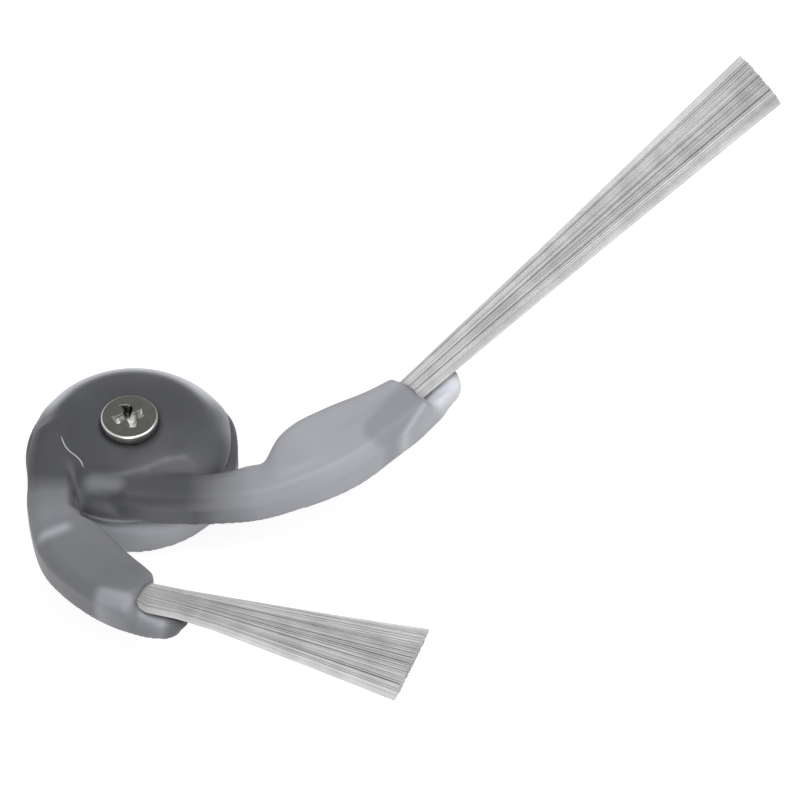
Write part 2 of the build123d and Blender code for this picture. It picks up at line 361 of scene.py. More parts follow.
def melt_share(at, reach):
    """Where the form melts: arm roots into the dome, blades into the arms, mouth corners into the lips."""
    long_run, long_inset, short_run, short_inset = arm_places(at)
    upper_side = smooth_step(*UPPER_SIDE, at[:, 2])
    roots = root_melt(long_run, long_inset) * root_melt(short_run, short_inset)
    roots = roots * upper_side * smooth_step(*CROWN_FADE, reach)
    long_blade = blade_melt(LONG_BLADE, long_run, long_inset) * (at[:, 1] > ARMS_PART_Y)
    short_blade = blade_melt(SHORT_BLADE, short_run, short_inset) * (at[:, 1] < ARMS_PART_Y)
    blades = (long_blade + short_blade) * smooth_step(*BLADE_TOP, at[:, 2])
    long_corner = near(at, LONG_CORNER, LONG_CORNER, *LONG_CORNER_FADE)
    short_corner = near(at, SHORT_CORNER, SHORT_CORNER, *SHORT_CORNER_FADE)
    mouths = (long_corner + short_corner) * upper_side
    return np.maximum(roots, np.maximum(blades, mouths))


def push(points, place, radius, shift, to=None, floor=BELOW_ALL, roof=ABOVE_ALL):
    """Moves the form by a shift, times a bell of the distance in plan from a place or from a line.

    The line runs from the place to a second one. Only what lies between two heights moves."""
    bell = np.exp(-(away(points, place, to or place) / radius) ** 2)
    above = smooth_step(floor, floor + PUSH_FADE, points[:, 2])
    below = 1 - smooth_step(roof - PUSH_FADE, roof, points[:, 2])
    return points + np.outer(bell * above * below, shift)


def shape_long_arm(at):
    """Draws the long arm in along its blade, and out at its neck and lip.

    The corner of its roof goes back, so that the mouth is cut square, and the lip's top rises."""
    at = push(at, LONG_BLADE_OUT, radius=4.5, shift=(-0.25, 0.5, 0))
    at = push(at, LONG_LIP_END, radius=2.0, shift=(0.5, -0.35, 0))
    at = push(at, LONG_NECK_IN, radius=1.8, shift=(0, 0.35, 0))
    at = push(at, LONG_NECK_OUT, radius=4.0, shift=(0, -0.35, 0))
    at = push(at, LONG_BLADE_IN, radius=3.5, shift=(0.1, -0.33, 0))
    at = push(at, LONG_LIP_ROOT, radius=1.8, shift=(0.2, -0.27, 0))
    at = push(at, LONG_ROOF_CORNER, radius=1.3, shift=(-0.7, -0.8, 0), floor=6.4)
    lip_start, lip_end = LONG_LIP_TOP
    return push(at, lip_start, radius=0.8, shift=(-0.3, 0.26, 0.3), to=lip_end, floor=4.6, roof=7.2)


def shape_short_arm(at):
    """Draws the short arm in at its root, and out at its bend.

    The corner of its roof dips over the tuft, the end of the lip leans out, and the lip's top rises."""
    at = push(at, SHORT_ROOT_OUT, radius=2.5, shift=(0.28, 0, 0))
    at = push(at, SHORT_BEND_OUT, radius=4.5, shift=(-0.4, -0.33, 0))
    at = push(at, SHORT_LIP_OUT, radius=2.0, shift=(0, 0.4, 0))
    at = push(at, SHORT_ROOF_CORNER, radius=1.0, shift=(0.35, -0.7, -0.35), floor=6.2)
    at = push(at, SHORT_LIP_END, radius=0.9, shift=(0.5, -0.05, 0), floor=4.8)
    at = push(at, SHORT_LIP_FOOT, radius=0.9, shift=(-0.35, 0.1, 0), roof=5.4)
    at = push(at, SHORT_LIP_IN, radius=1.1, shift=(0.75, 0.05, 0), floor=4.2)
    lip_start, lip_end = SHORT_LIP_TOP
    return push(at, lip_start, radius=0.8, shift=(0.14, 0.4, 0.25), to=lip_end, floor=4.6, roof=7.2)


def lip_share(at):
    """Where the lips are smoothed once more: near each lip's line, on its upper part."""
    lips = near(at, *LONG_LIP_LINE, *LONG_LIP_FADE) + near(at, *SHORT_LIP_LINE, *SHORT_LIP_FADE)
    return lips * smooth_step(*LIP_FOOT, at[:, 2]) * (1 - smooth_step(*LIP_HEAD, at[:, 2]))


def hug_head(at, reach):
    """Draws the wall that the rounding opened in to the screw's head, and evens out to the crown's edge."""
    stretch = (CROWN_R - HEAD_R) / (CROWN_R - HEAD_R - ROUNDED_GAP)
    snug = HEAD_R + HEAD_GAP + np.maximum(reach - HEAD_R - ROUNDED_GAP, 0) * stretch
    by_head = (reach < CROWN_R) & (at[:, 2] > HEAD_SEAT + SEAT_EDGE)
    squeeze = np.divide(snug, reach, out=np.ones_like(reach), where=by_head)
    return at * np.stack([squeeze, squeeze, np.ones_like(squeeze)], axis=1)


def blend(level, target, share):
    """A level moved towards a target by a share of the way."""
    return level + (target - level) * share


def on_root(run, inset):
    """1 on the part of an arm that lies on the hub, and 0 on the dome beside it."""
    return smooth_step(*ROOT_START, run) * (1 - smooth_step(*ROOT_BACK, inset))


def on_long_side(at):
    """True on the long arm's side of the notch between the two roots."""
    return (at[:, 0] > LONG_SIDE_X) & (at[:, 1] > LONG_SIDE_Y)


def plain_level(at, reach):
    """Levels by place: the dome's by the distance from the axis, an arm's by its run, and the skirt's,
    painted lit at the front and with painted shade at the sides and back.
    """
    long_run, long_inset, short_run, short_inset = arm_places(at)
    long_side = on_long_side(at)
    outside = smooth_step(*DOME_EDGE, reach)
    long_part = np.where(long_side, np.maximum(on_root(long_run, long_inset), outside), 0)
    short_part = np.maximum(on_root(short_run, short_inset), np.where(long_side, 0, outside))
    level = np.interp(reach, DOME_MM, DOME_LEVEL)
    level = blend(level, np.interp(long_run, LONG_MM, LONG_LEVEL), long_part)
    level = blend(level, np.interp(short_run, SHORT_MM, SHORT_LEVEL), short_part)
    # Painted light on the skirt's front, and painted shade on its sides and back.
    skirt_level = blend(SKIRT_LIT_LEVEL, SKIRT_PAINTED_SHADE, smooth_step(*SKIRT_FADE_Y, at[:, 1]))
    on_skirt = (at[:, 2] < SKIRT_TOP) & (reach < HUB_REACH)
    return np.where(on_skirt, skirt_level, level)


def daub(level, at, start, end, width, soft, target):
    """Blends a level towards a target near a line in plan, above the skirt.

    The blend is full within width - soft of the line, and ends at width + soft."""
    share = near(at, start, end, width - soft, width + soft) * (at[:, 2] > SKIRT_TOP)
    return blend(level, target, share)


def streak(level, at, points, width, soft, target):
    """A daub along each stretch of a line through points in plan."""
    for start, end in zip(points[:-1], points[1:]):
        level = daub(level, at, start, end, width, soft, target)
    return level


def front_edge_highlight(at, reach):
    """Share of painted highlight on the lower edge of the hub's front, above the skirt, with a hump across
    it.
    """
    low = (1 - smooth_step(*FRONT_EDGE_Z, at[:, 2])) * (at[:, 2] > SKIRT_TOP)
    in_front = hump(*FRONT_EDGE_X, at[:, 0]) * (at[:, 1] < 0) * on_long_side(at)
    return low * smooth_step(*FRONT_EDGE_R, reach) * in_front


def back_rim_highlight(at, reach):
    """Share of painted highlight on the dome's rim at the back, partly the milky plastic past the core's
    edge, by the turn about the axis in degrees.
    """
    turn = np.degrees(np.arctan2(at[:, 1], at[:, 0]))
    at_back = smooth_step(*BACK_FROM, turn) * (1 - smooth_step(*BACK_TO, turn))
    return at_back * smooth_step(*BACK_RIM_R, reach) * (at[:, 2] > SKIRT_TOP) * (reach < HUB_REACH)


def shade_hub(level, at, reach):
    """Adds painted shade and painted highlights on the hub to the plain levels, and darkens the dome on its
    right.
    """
    # The dome is a little darker on its right.
    level = streak(level, at, [(-2.0, 6.5), (3.0, 4.5), (5.2, -1.5)], width=3.0, soft=2.5, target=73)
    # Painted shade in the hollows above the long arm's root and between the roots.
    level = daub(level, at, (0.5, -4.0), (5.5, -2.8), width=1.0, soft=1.2, target=59)
    level = daub(level, at, (-5.4, -6.4), (-5.2, -11.0), width=0.5, soft=0.6, target=70)
    # Light end of the long arm's root, and a painted highlight along its ridge.
    level = daub(level, at, (-3.4, -7.8), (-1.0, -8.2), width=1.0, soft=0.8, target=126)
    ridge = [(-1.6, -7.1), (0.2, -6.7), (2.2, -6.0), (4.5, -4.6), (6.4, -3.9), (7.6, -4.6), (8.0, -6.1)]
    level = streak(level, at, ridge, width=0.2, soft=0.5, target=108)
    # Painted light on the root's front wall, which lies in shade, and painted highlights on the edge below
    # it and on the hub's lower front edge.
    level = daub(level, at, (-4.6, -10.4), (-0.8, -10.9), width=0.7, soft=0.7, target=110)
    level = daub(level, at, (-0.8, -11.1), (7.5, -11.3), width=0.2, soft=0.4, target=112)
    level = blend(level, RIM_HIGHLIGHT_LEVEL, front_edge_highlight(at, reach))
    # Painted highlight on the rim at the back, partly the milky plastic past the core's edge, and painted
    # shade on the rim at the right.
    level = blend(level, RIM_HIGHLIGHT_LEVEL, back_rim_highlight(at, reach))
    return daub(level, at, (9.6, -1.2), (9.2, -4.6), width=2.0, soft=2.0, target=84)


def shade_arms(level, at):
    """Adds the arms' painted highlights, painted shade and painted light, and the tufts' bound ends as they
    show through.
    """
    # Painted highlight on the crease where the short arm's blade begins.
    level = daub(level, at, (-8.0, -16.2), (-5.8, -15.1), width=0.4, soft=0.9, target=188)
    # The long tuft's bound end, as it shows through, with a painted shadow along its edge and a painted
    # highlight line beside it.
    level = daub(level, at, (28.2, 0.4), (31.2, 5.2), width=2.0, soft=0.6, target=150)
    level = daub(level, at, (30.6, 7.6), (32.1, 5.9), width=0.1, soft=0.3, target=116)
    level = daub(level, at, (29.3, -2.2), (33.0, 4.6), width=0.15, soft=0.3, target=194)
    # The short tuft's bound end, with a lighter stretch beside it.
    level = daub(level, at, (-0.6, -22.2), (2.0, -21.8), width=1.6, soft=0.8, target=114)
    level = daub(level, at, (-0.8, -24.2), (1.7, -24.8), width=0.9, soft=0.6, target=160)
    # Painted light through the long arm's thin lip, which is palest. The short one's lip has a painted
    # highlight along its inner top and painted shade at its tip.
    level = daub(level, at, (34.2, 7.2), (36.2, 10.0), width=1.2, soft=0.9, target=230)
    level = daub(level, at, (3.5, -25.1), (5.7, -26.0), width=0.4, soft=0.6, target=182)
    return daub(level, at, (6.9, -27.1), (8.6, -25.9), width=0.9, soft=0.9, target=96)


def paint(mesh, name, values):
    """Stores one number for each corner of a mesh as a named attribute."""
    mesh.attributes.new(name, "FLOAT", "POINT").data.foreach_set("value", np.asarray(values, np.float32))


def read(nodes, name):
    """The named attribute as a factor."""
    node = nodes.new("ShaderNodeAttribute")
    node.attribute_name = name
    return node.outputs["Fac"]


def paint_pale_line(mesh, at):
    """Paints the signed distance from the thin pale line, and where it shows.

    The line is a chord of the dome that waves once to each side, by a full and a half sine of the way."""
    chord = np.subtract(LINE_END, LINE_START)
    length = np.hypot(*chord)
    from_start = at[:, :2] - LINE_START
    t = from_start @ chord / length ** 2
    run = np.clip(t, 0, 1)
    wave = -LINE_WAVE * np.sin(2 * np.pi * run ** LINE_LATE) - LINE_BOW * np.sin(np.pi * run)
    paint(mesh, "line_side", from_start @ (-chord[1], chord[0]) / length - wave)
    paint(mesh, "line_shown", np.clip(LINE_FADE * np.minimum(t, 1 - t), 0, 1) * (at[:, 2] > SKIRT_TOP))


def with_line(nodes, links, tone):
    """A tone that turns pale where the painted distance from the pale line is small."""
    off_line = nodes.new("ShaderNodeMath")
    off_line.operation = "ABSOLUTE"
    links.new(read(nodes, "line_side"), off_line.inputs[0])
    thin = nodes.new("ShaderNodeMapRange")
    thin.inputs["From Min"].default_value = LINE_HALF - LINE_SOFT
    thin.inputs["From Max"].default_value = LINE_HALF + LINE_SOFT
    thin.inputs["To Min"].default_value = 1.0
    thin.inputs["To Max"].default_value = 0.0
    links.new(off_line.outputs[0], thin.inputs["Value"])
    shown = nodes.new("ShaderNodeMath")
    shown.operation = "MULTIPLY"
    links.new(thin.outputs["Result"], shown.inputs[0])
    links.new(read(nodes, "line_shown"), shown.inputs[1])
    mixed = nodes.new("ShaderNodeMix")
    mixed.inputs["B"].default_value = LINE_TONE
    links.new(shown.outputs[0], mixed.inputs["Factor"])
    links.new(tone, mixed.inputs["A"])
    return mixed.outputs["Result"]


def soft_plastic():
    """Milky satin plastic. Its grey is the painted tone, and it has a cloudy sheen and a fine grain."""
    material, nodes, links, shader = new_material("soft_plastic")
    tone = with_line(nodes, links, read(nodes, "tone"))
    tinted(nodes, links, shader, tone, SOFT_DARK, SOFT_LIGHT)
    cloud = noise(nodes, links, 6 * MM, detail=4.0)
    links.new(spread(nodes, links, cloud, *SOFT_ROUGHNESS), shader.inputs["Roughness"])
    shader.inputs["Specular IOR Level"].default_value = 0.3
    shader.inputs["Subsurface Weight"].default_value = 0.4
    shader.inputs["Subsurface Radius"].default_value = (1.0, 1.0, 1.0)
    shader.inputs["Subsurface Scale"].default_value = 0.8 * MM
    grain = noise(nodes, links, 0.25 * MM)
    bump(nodes, links, shader, grain, strength=0.15, depth=0.01 * MM, rounding=EDGE_RADIUS)
    return material


body = welded_copy("brush_body", "soft_body")
remesh = body.modifiers.new("remesh", "REMESH")
remesh.mode = "VOXEL"
remesh.voxel_size = BODY_VOXEL
settle(body)

# Every edge is rounded, then the form is melted, pushed and smoothed. Reach is taken before it melts.
ends = edge_ends(body.data)
everywhere = np.ones(len(body.data.vertices))
at = relax(corners(body.data), ends, np.tile((ROUND_STEP, SWELL_STEP), EDGE_ROUNDS), everywhere)
reach = np.hypot(at[:, 0], at[:, 1])
at = relax(at, ends, np.full(ROOT_ROUNDS, ROUND_STEP), melt_share(at, reach))
at = shape_long_arm(at)
at = shape_short_arm(at)
at = relax(at, ends, np.full(LIP_ROUNDS, ROUND_STEP), lip_share(at))
at = push(at, DOME_SHOULDER, radius=2.5, shift=(0.25, 0.2, 0))
at = hug_head(at, reach)
body.data.vertices.foreach_set("co", (at * MM).astype(np.float32).ravel())
body.data.update()

level = plain_level(at, reach)
level = shade_hub(level, at, reach)
level = shade_arms(level, at)
paint(body.data, "tone", TONE_GAIN * (level / 255) ** TONE_GAMMA)
paint_pale_line(body.data, at)
body.data.materials.append(soft_plastic())
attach(body, "root")
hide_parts("brush_body")


# Fixing screw. A nickel-plated steel pan-head screw with a cross recess, cold headed and thread rolled.
# It sits in the crown and stays captive in the core. The plating is worn bright round the recess, with
# painted highlights towards the front of the recess and the rim.

HEAD_TOP = 9.46
HEAD_EDGE = 0.22
UNDER_EDGE = 0.1
RECESS_SPAN = 3.5
RECESS_W = 1.0
RECESS_DEPTH = 1.25
RECESS_LIP = 0.06
RECESS_SLOPE = 0.42
RECESS_TURN = 20.0
RECESS_WAVER = 0.16
WAVER_PACE = (3.1, 2.7)
WAVER_START = (0.9, -0.5)
NECK_R = 1.15
THREAD_R = 1.5
THREAD_TOP = 4.2
THREAD_END = 1.17
THREAD_PITCH = 0.5
THREAD_CUT = 0.3
POINT_LENGTH = 0.5
POINT_CUT = 0.4
TOP_ROWS = 64
RIM_ROWS = 9
THREAD_ROWS = 62
SCREW_AROUND = 128
MERGE_GAP = 0.0005 * MM
PLATING = srgb(94, 94, 91)
BARE_STEEL = srgb(246, 245, 242)
STEEL_ROUGHNESS = (0.24, 0.34)
WEAR_DEPTH = (0.02, 0.3)
# Painted highlight: the recess and the rim grow brighter towards the front.
HIGHLIGHT_FRONT = (-1.4, -0.3)
RIM_WEAR_AND_HIGHLIGHT_IN = 0.12
RIM_WEAR_AND_HIGHLIGHT_DOWN = (0.42, 0.2)


def cross_depth(x, y):
    """Depth of the worn cross recess, from 0 to 1.

    It is the distance inside two crossed bars, over the slope's width. The bars waver by a sine of the
    place, as a slipping driver leaves them."""
    aslant = np.radians(RECESS_TURN)
    along = x * np.cos(aslant) + y * np.sin(aslant)
    across = y * np.cos(aslant) - x * np.sin(aslant)
    a = np.abs(along + RECESS_WAVER * np.sin(WAVER_PACE[0] * across + WAVER_START[0]))
    b = np.abs(across + RECESS_WAVER * np.sin(WAVER_PACE[1] * along + WAVER_START[1]))
    bar_a = np.minimum(RECESS_W / 2 - b, RECESS_SPAN / 2 - a)
    bar_b = np.minimum(RECESS_W / 2 - a, RECESS_SPAN / 2 - b)
    return smooth_step(-RECESS_LIP, RECESS_SLOPE, np.maximum(bar_a, bar_b))


def screw_profile():
    """Radius and height down the screw: flat top, rounded rim, upright side, neck, thread and end."""
    rim = np.linspace(0, np.pi / 2, RIM_ROWS)
    flat = np.linspace(0, HEAD_R - HEAD_EDGE, TOP_ROWS)
    thread_z = np.linspace(THREAD_TOP, THREAD_END, THREAD_ROWS)
    rim_r = HEAD_R - HEAD_EDGE + HEAD_EDGE * np.sin(rim)
    rim_z = HEAD_TOP - HEAD_EDGE + HEAD_EDGE * np.cos(rim)
    lower_r = [HEAD_R, HEAD_R - UNDER_EDGE, NECK_R, NECK_R]
    lower_z = [HEAD_SEAT + UNDER_EDGE, HEAD_SEAT, HEAD_SEAT, THREAD_TOP]
    r = np.concatenate([flat, rim_r, lower_r, np.full(THREAD_ROWS, THREAD_R), [0.0]])
    z = np.concatenate([np.full(TOP_ROWS, HEAD_TOP), rim_z, lower_z, thread_z, [THREAD_END]])
    return r, z


def plating_wear_and_highlight(turn, x, y, z, sunk):
    """Worn metal and painted highlight from 0 to 1, on the slopes of the recess and along the rim.

    In the recess it grows towards the front as painted highlight, and is patchy by a sine of the place. On
    the rim it goes by a sine of the turn, and is strongest at the front, also as painted highlight."""
    # Painted highlight towards the front of the recess, on worn patches.
    patchy = smooth_step(*HIGHLIGHT_FRONT, 0.4 * x - y) * (0.75 + 0.25 * np.sin(4.1 * x + 2.2 * y + 0.4))
    in_recess = smooth_step(*WEAR_DEPTH, sunk) * patchy
    outer = smooth_step(HEAD_R - HEAD_EDGE, HEAD_R - RIM_WEAR_AND_HIGHLIGHT_IN, np.hypot(x, y))
    upper = smooth_step(HEAD_TOP - RIM_WEAR_AND_HIGHLIGHT_DOWN[0], HEAD_TOP - RIM_WEAR_AND_HIGHLIGHT_DOWN[1], z)
    return np.maximum(in_recess, outer * upper * (0.5 - 0.38 * np.sin(turn + 0.4)))


def merge(mesh):
    """Joins corners that coincide, such as those at the poles of a turned shape."""
    shell = bmesh.new()
    shell.from_mesh(mesh)
    bmesh.ops.remove_doubles(shell, verts=shell.verts, dist=MERGE_GAP)
    shell.to_mesh(mesh)
    shell.free()


def screw_mesh():
    """The profile turned about the hub axis, with the thread, the point and the recess cut into it.

    The thread's radius falls by a triangle wave of the height less the turn times the pitch."""
    profile_r, profile_z = screw_profile()
    turn = np.linspace(0, 2 * np.pi, SCREW_AROUND, endpoint=False)
    rows = np.arange(profile_r.size)[:, None]
    r = np.repeat(profile_r[:, None], SCREW_AROUND, axis=1)
    z = np.repeat(profile_z[:, None], SCREW_AROUND, axis=1)
    winding = np.abs(((z / THREAD_PITCH - turn / (2 * np.pi)) % 1.0) * 2 - 1)
    blunt = 1 - smooth_step(THREAD_END, THREAD_END + POINT_LENGTH, z)
    on_thread = (rows >= profile_r.size - 1 - THREAD_ROWS) & (r > 0)
    r = np.maximum(r - np.where(on_thread, THREAD_CUT * winding + POINT_CUT * blunt, 0), 0)
    x = r * np.cos(turn)
    y = r * np.sin(turn)
    sunk = np.where(rows < TOP_ROWS, cross_depth(x, y), 0)
    z = z - RECESS_DEPTH * sunk
    points = np.stack([x, y, z], axis=2).reshape(-1, 3) * MM
    row = rows[:-1] * SCREW_AROUND
    here = np.arange(SCREW_AROUND)[None, :]
    there = (here + 1) % SCREW_AROUND
    below = row + SCREW_AROUND
    quads = np.stack([row + here, below + here, below + there, row + there], axis=2).reshape(-1, 4)
    mesh = bpy.data.meshes.new("plated_screw")
    mesh.from_pydata(points.tolist(), [], quads.tolist())
    # One attribute for worn metal and painted highlight.
    paint(mesh, "wear_and_highlight", plating_wear_and_highlight(turn, x, y, z, sunk).reshape(-1))
    merge(mesh)
    mesh.polygons.foreach_set("use_smooth", np.ones(len(mesh.polygons), bool))
    return mesh


def plated_steel():
    """Dull nickel plating, scratched by a driver and worn to bright metal on the rim and in the recess, with
    painted highlights there towards the front.
    """
    material, nodes, links, shader = new_material("plated_steel")
    shader.inputs["Metallic"].default_value = 1.0
    tinted(nodes, links, shader, read(nodes, "wear_and_highlight"), PLATING, BARE_STEEL)
    smears = noise(nodes, links, 0.9 * MM, detail=4.0)
    links.new(spread(nodes, links, smears, *STEEL_ROUGHNESS), shader.inputs["Roughness"])
    scratches = noise(nodes, links, 0.3 * MM, detail=4.0)
    bump(nodes, links, shader, scratches, strength=0.06, depth=0.02 * MM)
    return material


screw = bpy.data.objects.new("plated_screw", screw_mesh())
scene.collection.objects.link(screw)
screw.data.materials.append(plated_steel())
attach(screw, "root")
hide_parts("fixing_screw")


# Bristle tufts. Each is a bundle of fine nylon filaments, bound at the root, set in the mouth of an arm and
# cut straight across at the tip. The filaments hold together in locks, with narrow dark gaps between them.
# The gaps and the roots are darkened with painted shade, and the thin sides are paler with painted light.

FILAMENT_COUNT = 480
FILAMENT_D = 0.18
FILAMENT_SIDES = 5
FILAMENT_SPANS = 9
SPAN_POWER = 1.6
SCATTER_U = 0.754877666
SCATTER_V = 0.569840291
MOUTH_Z = 6.45
TUFT_H = 2.0
TIP_H = 1.1
TUFT_RISE = 5.1
ROOT_TILT = 4.0
SIDE_TAPER = 0.15
SIDE_LEAST = 0.08
FLARE = 1.2
STRAY = 0.03
TIP_STRAY = 0.006
TIP_RAGGED = 0.1
SPLAY_AT = 2.0
SPLAY_LENGTH = 2.5
# Painted shade near the root and in the gaps between locks, and painted light at the tuft's thin sides.
ROOT_SHADE_LENGTH = 14.0
SHADE_SPREAD = 0.1
EDGE_PALE = 1.2
MIDDLE_SHADE = 0.1
GAP_SHADE = 10
LOCK_EDGE = (0.9, 1.0)
FACE_UP = 1.2
FACE_FRONT = -0.6
FACE_TURN = (-0.5, -0.2)
NYLON_DARK = srgb(118, 118, 119)
NYLON_PALE = srgb(194, 194, 194)
NYLON_MOTTLE = 0.14
NYLON_ROUGHNESS = (0.5, 0.65)


def tuft_axes(aim, tilt):
    """Across, up and along: a frame headed at aim and rising, then rolled by tilt about its own length."""
    aim = np.radians(aim)
    rise = np.radians(TUFT_RISE)
    roll = np.radians(tilt)
    along = np.array([np.cos(rise) * np.cos(aim), np.cos(rise) * np.sin(aim), np.sin(rise)])
    level = np.array([-np.sin(aim), np.cos(aim), 0.0])
    above = np.cross(along, level)
    return level * np.cos(roll) + above * np.sin(roll), above * np.cos(roll) - level * np.sin(roll), along


def filament_places(size, draw):
    """Places across and up in the bundle, places across at the tip, and the middles of the locks.

    A place is the next step of an even two-way scatter. At the tip it is pulled to its lock's middle."""
    index = np.arange(FILAMENT_COUNT)
    u = (index * SCATTER_U + 0.5) % 1.0 - 0.5
    v = (index * SCATTER_V + 0.5) % 1.0 - 0.5
    v = v * np.clip((0.5 - np.abs(u)) / SIDE_TAPER, SIDE_LEAST, 1)
    lock_middle = (np.floor((u + 0.5) * size.locks) + 0.5) / size.locks - 0.5
    u_tip = lock_middle + (u - lock_middle) * (1 - size.parting)
    u_tip = np.clip(u_tip + draw.normal(0, TIP_STRAY, FILAMENT_COUNT), -0.5, 0.5)
    return u, v, u_tip, lock_middle


def ring_ways():
    """Way along a filament of each ring of corners, from 0 to 1, closer together near the root."""
    return np.linspace(0, 1, FILAMENT_SPANS + 1) ** SPAN_POWER


def past_mouth(size, ways):
    """Length past the arm's mouth at each way along a filament."""
    return ways * (size.depth + size.length) - size.depth


def filament_lines(size, draw, u, v, u_tip):
    """Middle line of each filament, from its place in the root's slot to its place in the wider tip.

    It adds a bow, which is half a sine of the way along, and a splay over the lip, which is a bell of the
    length past the mouth."""
    across_root, up_root, along = tuft_axes(size.aim, ROOT_TILT)
    across_tip, up_tip, along = tuft_axes(size.aim, size.tip_tilt)
    middle = np.array(size.mouth)
    reach = size.length - TIP_RAGGED * draw.random(FILAMENT_COUNT) ** 2
    root = middle - along * size.depth + np.outer(v * (TUFT_H - FILAMENT_D), up_root)
    tip = middle + np.outer(reach, along) + np.outer(v * (TIP_H - FILAMENT_D), up_tip)
    root_side = np.outer(u * (size.root_w - FILAMENT_D) + size.lean, across_root)
    tip_side = np.outer(u_tip * (size.tip_w - FILAMENT_D), across_tip)
    t = ring_ways()[None, :, None]
    flare = t ** FLARE
    sway = draw.normal(0, STRAY, (2, FILAMENT_COUNT, 1, 1))
    bow = np.sin(np.pi * t) * (sway[0] * across_tip + sway[1] * up_tip)
    bell = np.exp(-((past_mouth(size, t) - SPLAY_AT) / SPLAY_LENGTH) ** 2)
    splay = size.splay * bell * smooth_step(0.0, 0.5, -u)[:, None, None]
    return (root[:, None, :] * (1 - t) + tip[:, None, :] * t + bow - splay * across_root
            + root_side[:, None, :] * (1 - flare) + tip_side[:, None, :] * flare)


def filament_shade(size, draw, u, lock_middle):
    """Shade of each ring of each filament, from 0 to 1.

    It is paler at the tuft's thin sides, by the square of the place across, as painted light, and darker in
    the gaps between locks and near the root, as painted shade. It varies at random from one filament to the
    next."""
    edge_of_lock = np.abs(u - lock_middle) * 2 * size.locks
    thin_edge = EDGE_PALE * u * u - MIDDLE_SHADE
    in_gap = GAP_SHADE * size.parting * smooth_step(*LOCK_EDGE, edge_of_lock)
    at_root = size.root_shade * (1 - smooth_step(0.0, ROOT_SHADE_LENGTH, past_mouth(size, ring_ways())))
    own = size.pale + thin_edge + draw.normal(0, SHADE_SPREAD, FILAMENT_COUNT) - in_gap
    return np.clip(own[:, None] - at_root[None, :], 0, 1)


def filament_tubes(name, lines, across, up):
    """Thin tubes round lines: a ring of corners at each span, joined by quads, with a cap at each end."""
    around = np.linspace(0, 2 * np.pi, FILAMENT_SIDES, endpoint=False)
    ring = (np.outer(np.cos(around), across) + np.outer(np.sin(around), up)) * FILAMENT_D / 2
    points = lines[:, :, None, :] + ring[None, None, :, :]
    base = (np.arange(FILAMENT_COUNT) * (FILAMENT_SPANS + 1) * FILAMENT_SIDES)[:, None, None]
    here = np.arange(FILAMENT_SIDES)[None, None, :]
    there = (here + 1) % FILAMENT_SIDES
    first = base + (np.arange(FILAMENT_SPANS) * FILAMENT_SIDES)[None, :, None]
    second = first + FILAMENT_SIDES
    quads = np.stack([first + here, first + there, second + there, second + here], axis=3).reshape(-1, 4)
    root_caps = base[:, 0] + np.arange(FILAMENT_SIDES)[::-1]
    tip_caps = base[:, 0] + FILAMENT_SPANS * FILAMENT_SIDES + np.arange(FILAMENT_SIDES)
    mesh = bpy.data.meshes.new(name)
    faces = quads.tolist() + root_caps.tolist() + tip_caps.tolist()
    mesh.from_pydata((points.reshape(-1, 3) * MM).tolist(), [], faces)
    smooth = np.ones(len(mesh.polygons), bool)
    smooth[len(quads):] = False
    mesh.polygons.foreach_set("use_smooth", smooth)
    return mesh


def bristle_mesh(name, size):
    """A tuft of filaments as thin tubes, painted with their shade."""
    draw = np.random.default_rng(size.locks * FILAMENT_COUNT)
    u, v, u_tip, lock_middle = filament_places(size, draw)
    lines = filament_lines(size, draw, u, v, u_tip)
    across_tip, up_tip, along = tuft_axes(size.aim, size.tip_tilt)
    mesh = filament_tubes(name, lines, across_tip, up_tip)
    shade = filament_shade(size, draw, u, lock_middle)
    paint(mesh, "shade", np.repeat(shade.reshape(-1), FILAMENT_SIDES))
    return mesh


def face_normal(nodes, links):
    """The normal with the direction of the tuft's upper or lower face added to it.

    Clear filaments pass light on to each other, so the shading follows the broad face more than each one's
    own round."""
    round_normal = nodes.new("ShaderNodeNewGeometry")
    parts = nodes.new("ShaderNodeSeparateXYZ")
    links.new(round_normal.outputs["Normal"], parts.inputs["Vector"])
    upper_or_lower = nodes.new("ShaderNodeMapRange")
    upper_or_lower.inputs["From Min"].default_value = FACE_TURN[0]
    upper_or_lower.inputs["From Max"].default_value = FACE_TURN[1]
    upper_or_lower.inputs["To Min"].default_value = -FACE_UP
    upper_or_lower.inputs["To Max"].default_value = FACE_UP
    links.new(parts.outputs["Z"], upper_or_lower.inputs["Value"])
    face = nodes.new("ShaderNodeCombineXYZ")
    face.inputs["Y"].default_value = FACE_FRONT
    links.new(upper_or_lower.outputs["Result"], face.inputs["Z"])
    flatter = nodes.new("ShaderNodeVectorMath")
    links.new(round_normal.outputs["Normal"], flatter.inputs[0])
    links.new(face.outputs["Vector"], flatter.inputs[1])
    even = nodes.new("ShaderNodeVectorMath")
    even.operation = "NORMALIZE"
    links.new(flatter.outputs["Vector"], even.inputs[0])
    return even.outputs["Vector"]


def bristle_nylon():
    """Pale, slightly clear nylon, each filament a little lighter or darker than the next, with painted shade
    and painted light in its tone.
    """
    material, nodes, links, shader = new_material("bristle_nylon")
    mottle = noise(nodes, links, 3 * MM, detail=2.0)
    uneven = nodes.new("ShaderNodeMath")
    links.new(read(nodes, "shade"), uneven.inputs[0])
    links.new(spread(nodes, links, mottle, -NYLON_MOTTLE, NYLON_MOTTLE), uneven.inputs[1])
    tinted(nodes, links, shader, uneven.outputs[0], NYLON_DARK, NYLON_PALE)
    sheen = noise(nodes, links, 2 * MM)
    links.new(spread(nodes, links, sheen, *NYLON_ROUGHNESS), shader.inputs["Roughness"])
    shader.inputs["Specular IOR Level"].default_value = 0.25
    links.new(face_normal(nodes, links), shader.inputs["Normal"])
    return material


nylon = bristle_nylon()


